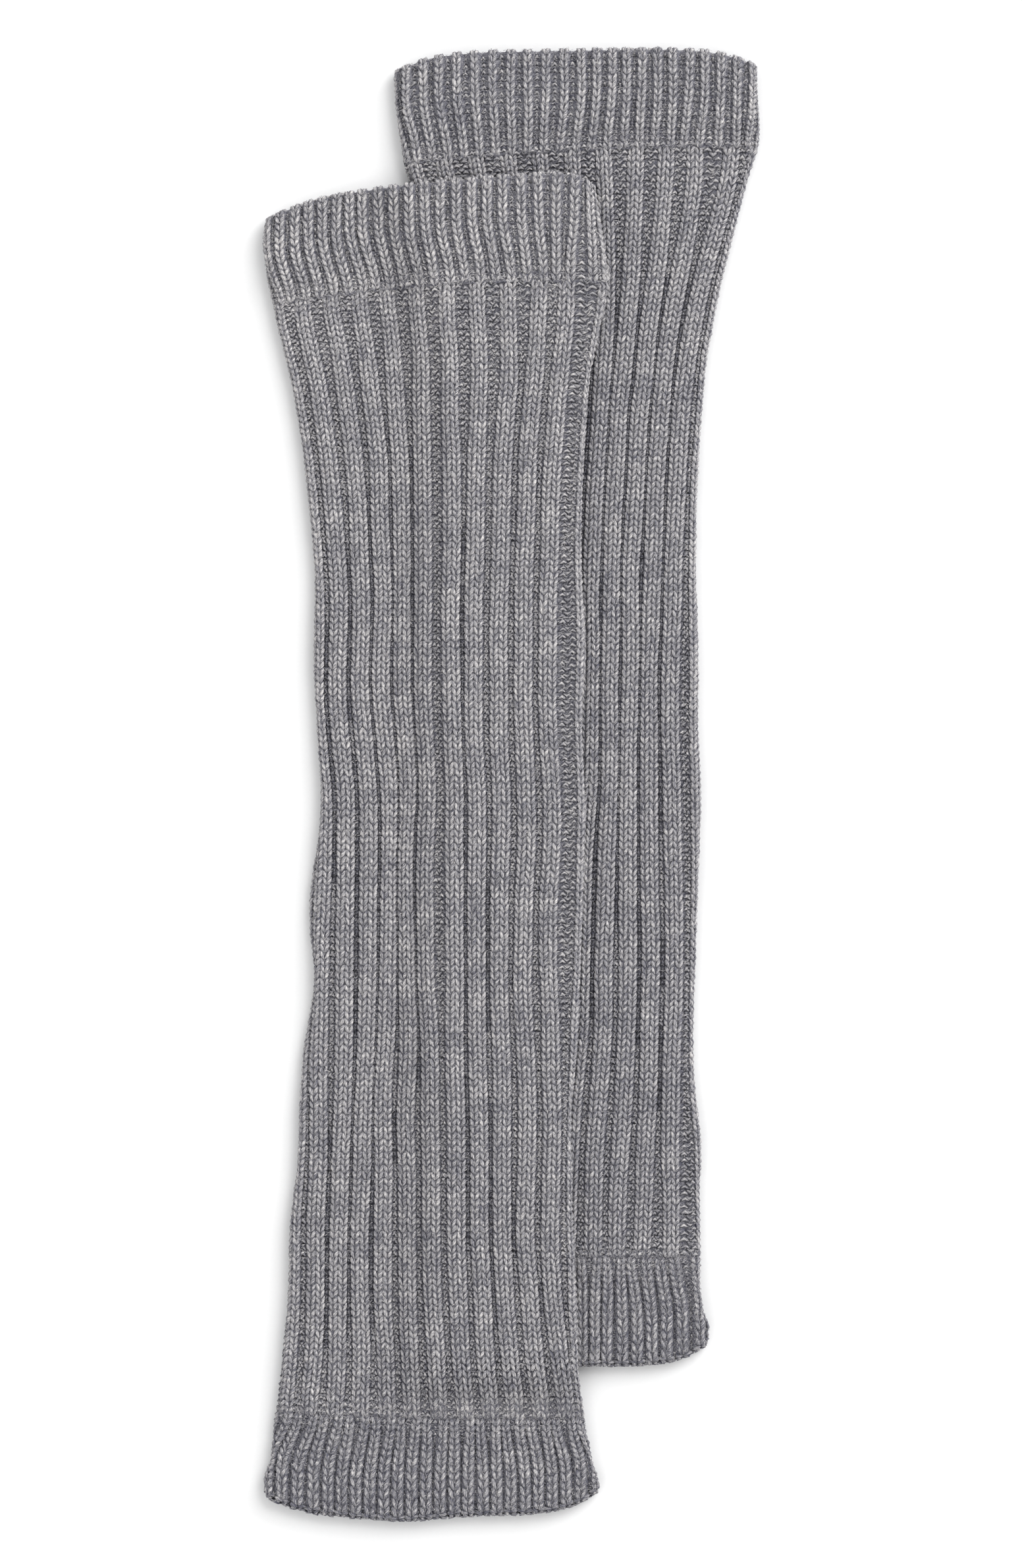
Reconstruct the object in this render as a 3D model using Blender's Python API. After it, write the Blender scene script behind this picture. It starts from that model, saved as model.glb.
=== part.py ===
"""A pair of ribbed wool leg warmers, laid flat, the front one lying partly over the back one.

Each is a knitted tube in three pieces: a doubled top cuff, a long leg in broad ribs and an
ankle cuff.  A piece is lofted through courses, the level rows of the knitting, and each course
is a flattened ring: ribbed on its upper face, plain underneath and plain inside.

Sizes are in millimetres and become metres in the meshes.  +Y runs up the leg to the top cuffs,
+X to the right, and +Z up from the surface that the pair lies on.
"""

import math
from collections import namedtuple

import bmesh
import bpy

MM = 0.001

# The cloth
WALL = 2.0                # one layer of knitting, in the valley between two ribs
WELT_WALL = 3.0           # the top cuff is folded double
SLOT = 0.8                # room between the two layers of the flattened tube
WALE = 3.2                # width of one column of knit stitches
LEG_RIB_RISE = 1.4        # a leg rib stands this far over its valley
CUFF_RIB_RISE = 1.0
RIB_SHOULDER = 0.8        # how far a rib's side leans in
PUCKER = 0.5              # the welt is drawn in this much where it is linked down
SEAM_GAP = 0.3            # between the knitted pieces
LAY_GAP = 0.5             # between the two leg warmers, ribs to underside

# Ribs across the face
CUFF_RIBS = 22
CUFF_CREST = 2.2          # flat top of a cuff rib
# Centres of the ten full leg ribs, as parts of the width.  The left ones sit closer, and a
# broad valley lies before the right fold.
LEG_RIB_CENTRES = (0.092, 0.177, 0.257, 0.334, 0.407, 0.506, 0.596, 0.685, 0.777, 0.867)
LEFT_FOLD_RIB = 3.9       # part of the folded ribs that shows at each side
RIGHT_FOLD_RIB = 2.6
NARROWEST_VALLEY = 0.8

# How the front leg warmer lies over the back one
CLIMB = 22.0              # run over which it climbs the back one's left fold
DROP = 18.5               # run over which it comes down past the back one's hem
SETTLE = 1.5              # it lies fully raised this far inside those edges

# Points round a ring
PLAIN_POINTS = 18         # across the underside, and across each side of the slot
FOLD_ANGLES = (30.0, 60.0)
EDGE_ANGLES = (15.0, 50.0, 90.0)

WOOL_COLOUR = (0.245, 0.245, 0.255, 1.0)
WOOL_ROUGHNESS = 0.92

# Each course: the ends of its line across the flat piece, how far its middle bows towards the
# top, and how square that bow is (2 is an arc, 5 a straight line with rounded corners).
Course = namedtuple("Course", "left_x left_y right_x right_y bow square thin", defaults=(0.0,))

FRONT_CUFF = (
    Course(-84.0, 191.5, 28.5, 203.0, 9.0, 4.0),
    Course(-83.5, 182.5, 30.5, 194.0, 6.5, 3.0),
    Course(-82.5, 172.0, 32.5, 183.0, 4.5, 2.5),
)
FRONT_LEG = (
    Course(-81.0, 162.5, 34.5, 169.5, 3.0, 2.0),
    Course(-79.0, 153.0, 30.5, 156.0, 2.0, 2.0),
    Course(-75.0, 137.5, 26.5, 137.5, 1.0, 2.0),
    Course(-71.5, 118.5, 25.0, 117.5, 0.5, 2.0),
    Course(-69.0, 96.0, 24.0, 95.0, 0.0, 2.0),
    Course(-66.5, 71.5, 24.0, 74.0, 0.0, 2.0),
    Course(-67.5, 44.0, 25.5, 44.0, 0.0, 2.0),
    Course(-66.0, 18.0, 24.0, 18.0, 0.0, 2.0),
    Course(-64.5, -6.5, 25.5, -6.5, 0.0, 2.0),
    Course(-67.0, -24.5, 25.0, -24.5, 0.0, 2.0),
    Course(-69.0, -42.5, 24.5, -42.5, 0.0, 2.0),
    Course(-67.0, -68.0, 23.5, -68.0, 0.0, 2.0),
    Course(-70.5, -89.5, 22.5, -89.5, 0.0, 2.0),
    Course(-72.0, -109.0, 20.5, -107.0, 0.0, 2.0),
    Course(-72.5, -129.5, 20.5, -129.5, 0.0, 2.0),
    Course(-75.5, -149.5, 21.0, -149.5, 0.0, 2.0),
    Course(-76.0, -174.0, 22.5, -174.0, 0.0, 2.0),
    Course(-78.0, -192.0, 23.0, -192.0, 0.0, 2.0),
    Course(-78.5, -198.0, 22.5, -198.0, 0.0, 2.0),
    Course(-79.0, -205.0, 23.5, -205.5, -0.5, 2.0),
    Course(-80.0, -213.0, 25.0, -215.0, -1.0, 2.0),
)
FRONT_ANKLE = (
    Course(-81.0, -222.5, 26.5, -224.5, -2.5, 2.5),
    Course(-83.0, -232.5, 28.0, -233.5, -5.5, 3.0),
    Course(-84.5, -239.5, 29.5, -239.0, -10.5, 6.0),
)
BACK_CUFF = (
    Course(-39.0, 240.0, 84.0, 245.0, 8.0, 5.0),
    Course(-39.0, 230.5, 84.0, 232.5, 5.0, 4.0),
    Course(-38.0, 220.5, 84.5, 223.5, 2.5, 3.0),
)
BACK_LEG = (
    Course(-36.5, 210.0, 84.0, 216.0, 2.0, 2.0),
    Course(-33.5, 199.0, 78.5, 199.0, 1.5, 2.0),
    Course(-28.0, 185.5, 75.5, 185.5, 1.0, 2.0),
    Course(-23.0, 165.5, 70.5, 166.0, 0.5, 2.0),
    Course(-20.0, 141.0, 66.0, 141.0, 0.0, 2.0),
    Course(-18.5, 114.0, 64.0, 114.0, 0.0, 2.0),
    Course(-19.0, 91.5, 63.0, 91.5, 0.0, 2.0),
    Course(-20.5, 65.0, 63.0, 65.0, 0.0, 2.0),
    Course(-20.5, 40.5, 64.0, 40.5, 0.0, 2.0),
    Course(-19.5, 20.0, 63.5, 20.0, 0.0, 2.0),
    Course(-18.5, -2.0, 65.0, -2.0, 0.0, 2.0),
    Course(-19.0, -24.5, 64.0, -24.5, 0.0, 2.0),
    Course(-20.0, -51.5, 63.0, -51.5, 0.0, 2.0),
    Course(-20.5, -78.0, 62.0, -78.0, 0.0, 2.0),
    Course(-20.0, -100.5, 62.0, -100.5, 0.0, 2.0),
    Course(-19.0, -121.5, 65.0, -121.5, 0.0, 2.0),
    Course(-20.0, -138.0, 64.0, -138.0, 0.0, 2.0),
    Course(-20.5, -160.5, 64.5, -160.5, 0.0, 2.0),
)
BACK_ANKLE = (
    Course(-22.0, -171.0, 64.5, -171.0, -1.0, 2.5),
    Course(-23.5, -181.0, 65.5, -180.5, -4.5, 3.0),
    Course(-25.0, -189.0, 67.0, -188.0, -9.5, 6.0),
)

LEG_HEIGHT = 2 * WALL + SLOT + LEG_RIB_RISE
LIFT = LEG_HEIGHT + LAY_GAP


def smooth(part):
    """An even rise from 0 to 1, flat at both ends."""
    part = min(max(part, 0.0), 1.0)
    return part * part * (3.0 - 2.0 * part)


def blend(first, second, part):
    """The course at a part of the way from one course to the next."""
    return Course(*(a + (b - a) * part for a, b in zip(first, second)))


def back_left_fold(y):
    """Where the back leg warmer's left fold lies at height y."""
    courses = BACK_LEG + BACK_ANKLE
    for upper, lower in zip(courses, courses[1:]):
        if y >= lower.left_y:
            part = min(max((upper.left_y - y) / (upper.left_y - lower.left_y), 0.0), 1.0)
            return blend(upper, lower, part).left_x
    return courses[-1].left_x


def over_back(x, y):
    """Height of the front leg warmer's underside, which climbs onto the back one."""
    hem_course = BACK_ANKLE[-1]
    hem_y = min(hem_course.left_y, hem_course.right_y) + hem_course.bow
    from_fold = x - back_left_fold(y) + CLIMB - SETTLE
    from_hem = y - hem_y + DROP - SETTLE
    return LIFT * smooth(from_fold / CLIMB) * smooth(from_hem / DROP)


def on_floor(x, y):
    """Height of the back leg warmer's underside."""
    return 0.0


def leg_ribs(width):
    """Corners of the broad ribs over the face: distance across and rise, left to right."""
    corners = [(LEFT_FOLD_RIB - RIB_SHOULDER, LEG_RIB_RISE), (LEFT_FOLD_RIB, 0.0)]
    closest = min(b - a for a, b in zip(LEG_RIB_CENTRES, LEG_RIB_CENTRES[1:])) * width
    half = min(WALE, (closest - NARROWEST_VALLEY) / 2)
    for centre in LEG_RIB_CENTRES:
        middle = centre * width
        corners.append((middle - half, 0.0))
        corners.append((middle - half + RIB_SHOULDER, LEG_RIB_RISE))
        corners.append((middle + half - RIB_SHOULDER, LEG_RIB_RISE))
        corners.append((middle + half, 0.0))
    corners.append((width - RIGHT_FOLD_RIB, 0.0))
    corners.append((width - RIGHT_FOLD_RIB + RIB_SHOULDER, LEG_RIB_RISE))
    return corners


def cuff_ribs(width):
    """Corners of the fine ribs over the face: distance across and rise, left to right."""
    pitch = width / CUFF_RIBS
    corners = []
    for rib in range(CUFF_RIBS):
        middle = (rib + 0.5) * pitch
        if rib:
            corners.append((rib * pitch, 0.0))
        corners.append((middle - CUFF_CREST / 2, CUFF_RIB_RISE))
        corners.append((middle + CUFF_CREST / 2, CUFF_RIB_RISE))
    return corners


# What a piece is knitted in.  A rib of the leg runs along each fold, and the cuffs' ribs don't.
Knit = namedtuple("Knit", "corners wall rise rib_on_fold")
WELT = Knit(cuff_ribs, WELT_WALL, CUFF_RIB_RISE, False)
FINE_RIB = Knit(cuff_ribs, WALL, CUFF_RIB_RISE, False)
BROAD_RIB = Knit(leg_ribs, WALL, LEG_RIB_RISE, True)


def fold_rounding(across, width, height):
    """Half the height of the flattened tube near its side folds, which round over."""
    inset = min(across, width - across, height / 2)
    return math.sqrt(max(inset * (height - inset), 0.0))


def outer_ring(width, knit, thin):
    """The ring's outside as (across, height), from the left fold over the ribs and back."""
    valley = 2 * knit.wall + SLOT
    height = valley + knit.rise
    half = height / 2
    steps = [half * (1 - math.cos(math.radians(angle))) for angle in FOLD_ANGLES]
    ring = [(0.0, half)]
    # the right fold's rib is so narrow that its own corner rounds the rest of the fold
    if knit.rib_on_fold:
        ring += [(a, half + fold_rounding(a, width, height)) for a in steps]
    for across, rise in knit.corners(width):
        limit = half + fold_rounding(across, width, height)
        ring.append((across, min(valley + rise, limit)))
    if knit.rib_on_fold:
        ring.append((width - steps[0], half + fold_rounding(steps[0], width, height)))
    ring.append((width, half))
    ring += [(width - a, half - fold_rounding(a, width, height)) for a in steps]
    for step in range(PLAIN_POINTS):
        part = 1 - step / (PLAIN_POINTS - 1)
        ring.append((half + (width - height) * part, 0.0))
    ring += [(a, half - fold_rounding(a, width, height)) for a in reversed(steps)]
    return [(thin + a * (1 - 2 * thin / width), thin + z * (1 - 2 * thin / height))
            for a, z in ring]


def inner_ring(width, wall, thin):
    """The slot inside the ring as (across, height), the same way round."""
    side = wall + SLOT / 2 - thin
    floor = wall - thin
    ceiling = wall + SLOT + thin
    ring = [(side, wall + SLOT / 2)]
    spread = [(step + 0.5) / PLAIN_POINTS for step in range(PLAIN_POINTS)]
    ring += [(side + (width - 2 * side) * part, ceiling) for part in spread]
    ring.append((width - side, wall + SLOT / 2))
    ring += [(side + (width - 2 * side) * part, floor) for part in reversed(spread)]
    return ring


def lay(ring, course, underside):
    """Bend a ring's points along a course and raise them by what lies under them."""
    width = course.right_x - course.left_x
    points = []
    for across, height in ring:
        part = across / width
        x = course.left_x + across
        y = course.left_y + (course.right_y - course.left_y) * part
        y += course.bow * (1 - abs(2 * part - 1) ** course.square)
        points.append((x * MM, y * MM, (height + underside(x, y)) * MM))
    return points


def round_edge(edge, inside, wall):
    """Courses that round a free edge's wall over, from the edge inwards."""
    run = abs(edge.left_y - inside.left_y)
    courses = []
    for angle in EDGE_ANGLES:
        turn = math.radians(angle)
        depth = wall / 2 * (1 - math.cos(turn))
        thin = wall / 2 * (1 - math.sin(turn))
        courses.append(blend(edge, inside, depth / run)._replace(thin=thin))
    return courses


def shift(course, distance):
    """The course moved along the leg, which leaves the gap at a seam."""
    return course._replace(left_y=course.left_y + distance, right_y=course.right_y + distance)


def loft(rings, first, faces):
    """Skin rings of equal counts that start at vertex number first."""
    count = len(rings[0])
    for row in range(len(rings) - 1):
        upper = first + row * count
        lower = upper + count
        for index in range(count):
            after = (index + 1) % count
            faces.append((upper + index, upper + after, lower + after, lower + index))


def places_round(ring, width):
    """Where each point comes round the ring: 0 to 1 over the face, 1 to 2 back underneath."""
    right = max(range(len(ring)), key=lambda index: ring[index][0])
    places = []
    for index, (across, _) in enumerate(ring):
        part = across / width
        places.append(part if index <= right else 2.0 - part)
    return places + [2.0 + places[0]]


def close_end(outside, inside, width, outer_first, inner_first, faces):
    """Close the wall's end between the outer ring and the slot's ring, as triangles."""
    outer_places = places_round(outside, width)
    inner_places = places_round(inside, width)
    outer_count = len(outside)
    inner_count = len(inside)
    outer = inner = 0
    while outer < outer_count or inner < inner_count:
        a = outer_first + outer % outer_count
        b = inner_first + inner % inner_count
        outer_is_next = inner == inner_count or (
            outer < outer_count and outer_places[outer + 1] <= inner_places[inner + 1])
        if outer_is_next:
            outer += 1
            faces.append((a, b, outer_first + outer % outer_count))
        else:
            inner += 1
            faces.append((a, b, inner_first + inner % inner_count))


def wool(name):
    """The wool's plain colour on one piece."""
    material = bpy.data.materials.new(name)
    material.use_nodes = True
    shader = material.node_tree.nodes["Principled BSDF"]
    shader.inputs["Base Color"].default_value = WOOL_COLOUR
    shader.inputs["Roughness"].default_value = WOOL_ROUGHNESS
    shader.inputs["Metallic"].default_value = 0.0
    return material


def knitted_piece(name, courses, knit, underside, warmer, collection):
    """One closed tube lofted through its courses, ribbed outside over a plain slot."""
    outer_rings = []
    inner_rings = []
    points = []
    for course in courses:
        width = course.right_x - course.left_x
        outer_rings.append(outer_ring(width, knit, course.thin))
        inner_rings.append(inner_ring(width, knit.wall, course.thin))
    for ring, course in zip(outer_rings, courses):
        points += lay(ring, course, underside)
    inner_first = len(points)
    for ring, course in zip(inner_rings, courses):
        points += lay(ring, course, underside)

    faces = []
    loft(outer_rings, 0, faces)
    loft(inner_rings, inner_first, faces)
    last = len(courses) - 1
    for end in (0, last):
        width = courses[end].right_x - courses[end].left_x
        outer_start = end * len(outer_rings[0])
        inner_start = inner_first + end * len(inner_rings[0])
        close_end(outer_rings[end], inner_rings[end], width, outer_start, inner_start, faces)

    mesh = bpy.data.meshes.new(name)
    mesh.from_pydata(points, [], faces)
    turn_faces_out(mesh)
    mesh.shade_smooth()
    mesh.set_sharp_from_angle(angle=math.radians(40.0))
    mesh.materials.append(wool(name + "_wool"))
    piece = bpy.data.objects.new(name, mesh)
    piece.parent = warmer
    collection.objects.link(piece)
    return piece


def turn_faces_out(mesh):
    """Make every face of a closed mesh point outwards."""
    work = bmesh.new()
    work.from_mesh(mesh)
    bmesh.ops.recalc_face_normals(work, faces=work.faces)
    work.to_mesh(mesh)
    work.free()


def leg_warmer(name, cuff, leg, ankle, underside, collection):
    """The three knitted pieces of one leg warmer, parted at their seams."""
    warmer = bpy.data.objects.new(name, None)
    collection.objects.link(warmer)
    half_gap = SEAM_GAP / 2

    top = round_edge(cuff[0], cuff[1], WELT_WALL) + list(cuff[1:])
    top.append(shift(leg[0], half_gap)._replace(thin=PUCKER))
    knitted_piece(name + "_top_cuff", top, WELT, underside, warmer, collection)

    middle = [shift(leg[0], -half_gap)] + list(leg[1:-1]) + [shift(leg[-1], half_gap)]
    knitted_piece(name + "_leg", middle, BROAD_RIB, underside, warmer, collection)

    hem = round_edge(ankle[-1], ankle[-2], WALL)
    bottom = [shift(leg[-1], -half_gap)] + list(ankle[:-1]) + hem[::-1]
    knitted_piece(name + "_bottom_cuff", bottom, FINE_RIB, underside, warmer, collection)


def main():
    for old in list(bpy.data.objects):
        bpy.data.objects.remove(old, do_unlink=True)
    collection = bpy.data.collections.new("leg_warmers")
    bpy.context.scene.collection.children.link(collection)
    leg_warmer("back", BACK_CUFF, BACK_LEG, BACK_ANKLE, on_floor, collection)
    leg_warmer("front", FRONT_CUFF, FRONT_LEG, FRONT_ANKLE, over_back, collection)


main()
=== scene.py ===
"""The pair of ribbed wool leg warmers, laid flat, the front one partly over the back one.

Each leg warmer is three knitted tubes: a doubled top cuff, a long leg in broad ribs and an ankle
cuff.  A tube is a thin cloth with the knit stitches laid on it, strand by strand.  Places on a
tube are counted as a knitter counts them, in stitches round it and rows down it.

Sizes are in millimetres until they go into a mesh.  +Y runs up the leg to the top cuffs, +X to
the right and +Z up from the floor.
"""

import math
from collections import namedtuple

import bpy
import numpy as np
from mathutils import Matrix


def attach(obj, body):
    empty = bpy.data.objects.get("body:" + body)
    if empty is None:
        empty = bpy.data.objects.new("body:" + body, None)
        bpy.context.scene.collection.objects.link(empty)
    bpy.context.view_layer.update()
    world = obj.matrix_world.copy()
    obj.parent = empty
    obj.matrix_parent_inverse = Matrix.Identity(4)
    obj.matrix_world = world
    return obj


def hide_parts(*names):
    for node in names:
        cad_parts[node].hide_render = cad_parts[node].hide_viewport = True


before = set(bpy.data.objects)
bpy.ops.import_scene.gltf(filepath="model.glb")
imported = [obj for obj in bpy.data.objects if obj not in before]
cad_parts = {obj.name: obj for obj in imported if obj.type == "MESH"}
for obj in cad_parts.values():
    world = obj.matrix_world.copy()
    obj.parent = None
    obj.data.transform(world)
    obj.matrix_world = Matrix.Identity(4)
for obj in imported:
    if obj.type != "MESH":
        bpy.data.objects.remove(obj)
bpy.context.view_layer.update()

MM = 0.001
scene = bpy.context.scene
rng = np.random.default_rng(11)  # the unevenness of the knitting, the same each run

# The cloth
STITCHES = 88  # round each tube
SLOT = 0.8  # room between the two layers of the flattened tube
YARN = 0.7  # how far the stitches stand out of the cloth
SEAM_ROOM = 0.15  # what each tube keeps clear of a seam
FLOOR_ROOM = 0.02  # what the yarn keeps clear of the floor

# How a tube is knitted: its thickness laid flat, how deep the valleys between its ribs are and how
# much of that is the rounding of the ribs, the stitches in a rib, and where its bands start
Knit = namedtuple("Knit", "height rise crown band first")
LEG_KNIT = Knit(6.2, 1.45, 0.9, 2, -9.0)
WELT_KNIT = Knit(7.8, 1.0, 0.25, 1, -10.0)
ANKLE_KNIT = Knit(5.8, 1.5, 0.25, 1, -10.0)
FOLD_RELIEF = 0.65  # share of the ribs' depth left at the folds, less still underneath
VALLEY_SIDE = 0.3  # share of a valley's width that each of its sides takes

# How much deeper the valleys are towards an end of a tube, or shallower: the amount there, the
# rows that it reaches and the rows over which it fades
WELT_TOP = (0.9, 2, 2)
LEG_ENDS = (-0.35, 20, 16)  # where the cuffs stretch the leg's ribs apart
SEAM = (-0.6, 4, 4)  # the top cuff's, and both of the leg's
ANKLE_SEAM = (-1.1, 5, 5)
# How far the welt's face comes down to the leg's, in the same way
WELT_SINKS = (1.25, 5, 5)

# How the front leg warmer climbs onto the back one, at its left fold and at its hem
LIFT = LEG_KNIT.height + 0.5  # with a little room between the two
CLIMB = 22.0  # the length of the slope at the fold
DROP = 18.5  # and at the hem
SETTLE = 1.5  # how much of either slope lies past the edge

# Where a row of stitches lies: its two ends, how far its middle bows out, how square its corners
# are, how much squarer the right one is, and how far it sags a little left of its middle
Course = namedtuple("Course", "left_x left_y right_x right_y bow square lean sag",
                    defaults=(0.0, 2.0, 0.0, 0.0))
SAG_PLACE = 0.42  # shares of the width
SAG_REACH = 0.12


def laid(*rows):
    """The courses of one piece, from the top down."""
    return [Course(*row) for row in rows]


FRONT_CUFF = laid(
    (-83.4, 191.7, 28.6, 201.3, 8.4, 7.75, 0.55),
    (-84.7, 183, 29.9, 192.8, 5.8, 4, 0.3),
    (-83.1, 172, 31.4, 183, 4.2, 2.5))
FRONT_LEG = laid(
    (-81, 162.5, 33.7, 169.5, 3),
    (-79, 153, 30.5, 156, 2),
    (-75, 137.5, 26.5, 137.5, 1),
    (-71.5, 118.5, 25, 117.5, 0.5),
    (-69, 96, 24, 95),
    (-66.5, 71.5, 24, 74),
    (-67.5, 44, 25.5, 44),
    (-66, 18, 24, 18),
    (-64.5, -6.5, 25.5, -6.5),
    (-67, -24.5, 25, -24.5),
    (-69, -42.5, 24.5, -42.5),
    (-67, -68, 23.5, -68),
    (-70.5, -89.5, 22.5, -89.5),
    (-72, -109, 20.5, -107),
    (-72.5, -129.5, 20.5, -129.5),
    (-75.5, -149.5, 21, -149.5),
    (-76, -174, 22.5, -174),
    (-78, -192, 23, -192),
    (-78.5, -198, 22.5, -198),
    (-79, -205, 23.5, -205.5, -0.5),
    (-80, -213, 25, -215, -1))
FRONT_ANKLE = laid(
    (-81.3, -222.5, 26.8, -224.5, -2.5, 2.5),
    (-81.6, -230, 27.9, -230.6, -4.4, 3, 0, -0.5),
    (-84.3, -234.4, 29.5, -234.6, -7, 4, 0.1, -1),
    (-83.9, -241.4, 30.6, -238.6, -9.2, 6, 0.2, -1.6))
BACK_CUFF = laid(
    (-39.9, 241.8, 84, 243.6, 7.5, 6),
    (-39.3, 230.5, 84, 232.5, 5, 4),
    (-38, 220.5, 84.5, 223.5, 2.5, 3))
BACK_LEG = laid(
    (-36.5, 210, 84, 216, 2),
    (-33.5, 199, 78.5, 199, 1.5),
    (-28, 185.5, 75.5, 185.5, 1),
    (-23, 165.5, 70.5, 166, 0.5),
    (-20, 141, 66, 141),
    (-18.5, 114, 64, 114),
    (-19, 91.5, 63, 91.5),
    (-20.5, 65, 63, 65),
    (-20.5, 40.5, 64, 40.5),
    (-19.5, 20, 63.5, 20),
    (-18.5, -2, 65, -2),
    (-19, -24.5, 64, -24.5),
    (-20, -51.5, 63, -51.5),
    (-20.5, -78, 62, -78),
    (-20, -100.5, 62, -100.5),
    (-19, -121.5, 65, -121.5),
    (-20, -138, 64, -138),
    (-20.5, -160.5, 64.5, -160.5))
BACK_ANKLE = laid(
    (-22, -171, 64.5, -171, -1, 2.5),
    (-23.5, -180, 65.7, -178.5, -4, 3),
    (-24.5, -184.5, 67.3, -182.5, -6.5, 4),
    (-25, -189, 67.2, -189.5, -9, 6))

# Where the ribs' middles run: a height, then x for the twelve ribs from fold to fold
FRONT_RIBS = (
    (161, -80.25, -70.75, -61, -51.5, -42, -32, -22, -11.5, -1, 9.5, 19, 32.25),
    (150, -78, -68.5, -58.75, -49.5, -40.25, -30.75, -21, -10.75, -1, 8.75, 18, 31),
    (141, -75.5, -66.5, -57, -48.25, -39.5, -30.25, -20.25, -10.25, -0.75, 8.25, 16.75, 29.5),
    (127.5, -73, -64.25, -55.5, -47, -38.75, -30.5, -21, -10.75, -1.75, 7, 15.25, 28),
    (109.5, -70.25, -62, -53.5, -45.25, -37.5, -30, -19.75, -11.5, -2.75, 5.75, 14, 27),
    (87.5, -68, -59.75, -51.75, -44.25, -37, -29.75, -20, -12.25, -3.5, 4.75, 13, 25.5),
    (65, -66.5, -58.25, -50.5, -43.25, -36.5, -29.5, -20.5, -12.75, -4, 4.25, 12.5, 25.5),
    (49.5, -66.5, -58.5, -51, -43.75, -36.75, -29.75, -20.5, -12.75, -4.25, 4.25, 12.75, 25.75),
    (31.5, -67, -59.25, -51.75, -44.25, -37, -29.75, -20.25, -12.75, -4.25, 4, 12.25, 25.25),
    (13.5, -65.5, -57.75, -49.75, -42.5, -35.75, -29, -19.75, -12.25, -4, 4.5, 12.75, 25.25),
    (-2, -63.75, -56, -48.25, -41.25, -34.75, -28, -19, -11.5, -3.25, 5.25, 13.75, 26),
    (-20, -63.75, -56, -48.25, -41.5, -35.5, -29, -19.25, -11.5, -3.25, 5.5, 14, 25.75),
    (-42.5, -64.5, -56.5, -48.5, -41.75, -35.75, -29, -19, -11.75, -4, 4.25, 12.5, 25),
    (-64.5, -64.75, -56.5, -48.5, -41.75, -35.5, -28.75, -19, -11.75, -4.25, 3.75, 12.25, 24.75),
    (-87, -65, -56.75, -49.25, -42.25, -35, -27.25, -19, -11.25, -3.25, 5, 13.5, 23.75),
    (-109.5, -65.25, -57.5, -50.25, -43.25, -35.75, -27.25, -18.5, -10.75, -3, 5.75, 14.25, 24.25),
    (-132, -65.5, -57.75, -50.5, -43.25, -35.25, -27, -18.75, -10.5, -2.75, 5.25, 13.75, 22.5),
    (-154, -66.5, -58.75, -51.25, -43.5, -35.25, -26.75, -18.5, -10.75, -3, 4.75, 13, 22.5),
    (-176.5, -66.5, -58.75, -51.5, -43.75, -35, -26.25, -17.75, -9.75, -2, 6, 14, 22.75),
    (-194.5, -67, -58.75, -50.5, -42.5, -34.25, -25.5, -17, -8.75, -0.5, 8, 16.25, 24.75),
    (-210, -68.75, -60, -51, -42.25, -33.5, -24.5, -15.5, -7, 1.5, 10.25, 18.75, 26.5))
# The back one's five ribs at its right; the others follow on to the left at the same spacing
BACK_RIBS = (
    (207.5, 42.25, 52.5, 62.75, 74.75, 84.25),
    (199, 42, 52, 62, 72.5, 81.75),
    (185.5, 41.5, 50.5, 59.75, 69, 77.25),
    (170, 40.75, 49, 57, 65, 73.25),
    (150, 39, 46.25, 53.25, 60.75, 69.25),
    (127.5, 37, 43.75, 50.75, 57.75, 66.75),
    (100.5, 35.25, 42, 49, 56, 64.5),
    (74, 34.25, 40.75, 48, 55, 64),
    (42.5, 33.75, 40.5, 47, 54, 63.5),
    (-2, 33.25, 40, 46.75, 54.5, 64),
    (-29, 32, 39.5, 47, 54.75, 65.25),
    (-56, 32, 39.75, 47.75, 55.25, 65),
    (-82.5, 31.25, 39, 47, 54.75, 65),
    (-109.5, 29.25, 37.75, 46.25, 54.25, 65.25),
    (-127.5, 28.25, 36.75, 45.5, 54, 66.25),
    (-156.5, 27.75, 35.75, 44.5, 54.25, 67.5))

# The height of a row at places down the legs, and in the cuffs
FRONT_ROWS = ((170, 2.06), (110, 2.1), (70, 2.22), (0, 2.3), (-90, 2.26), (-215, 2.2))
BACK_ROWS = ((216, 2.1), (110, 2.15), (50, 2.25), (0, 2.24), (-160, 2.24))
WELT_ROWS = ((0, 2.02),)
ANKLE_ROWS = ((0, 1.9),)

# Ribs of the legs
LEG_RIBS = 22
FACE_RIBS = 12  # of them, with the two on the folds
RIB_SPACING = 8.1  # of the first two underneath
KNIT_HALF = 3.0  # half the width of a rib's two columns of knit stitches
NARROW_VALLEY = 0.9  # the narrowest valley between two ribs
STRETCHED_FROM = 8.4  # ribs further apart than this are stretched
STRETCHED_BY = 1.2  # and fully so this much further apart
STRETCHED_LOSS = 0.1  # the share of its width that a rib then loses
SOFT_ROWS = 5  # over which the outline and the ribs turn

# Ribs of the cuffs
CUFF_KNIT_SHARE = 0.42  # the most that half a knit column takes of the space between two
CUFF_SETTLES = 0.7  # share of a cuff's rows in which its ribs leave the leg's places
FRONT_WELT_HALF = 1.62  # half the width of a knit column
BACK_WELT_HALF = 1.4
ANKLE_HALF = 1.95

# How the ribs wander: the rows between two turns, and how far
LEG_WANDER = (7, 0.2)
CUFF_WANDER = (5, 0.18)

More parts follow.
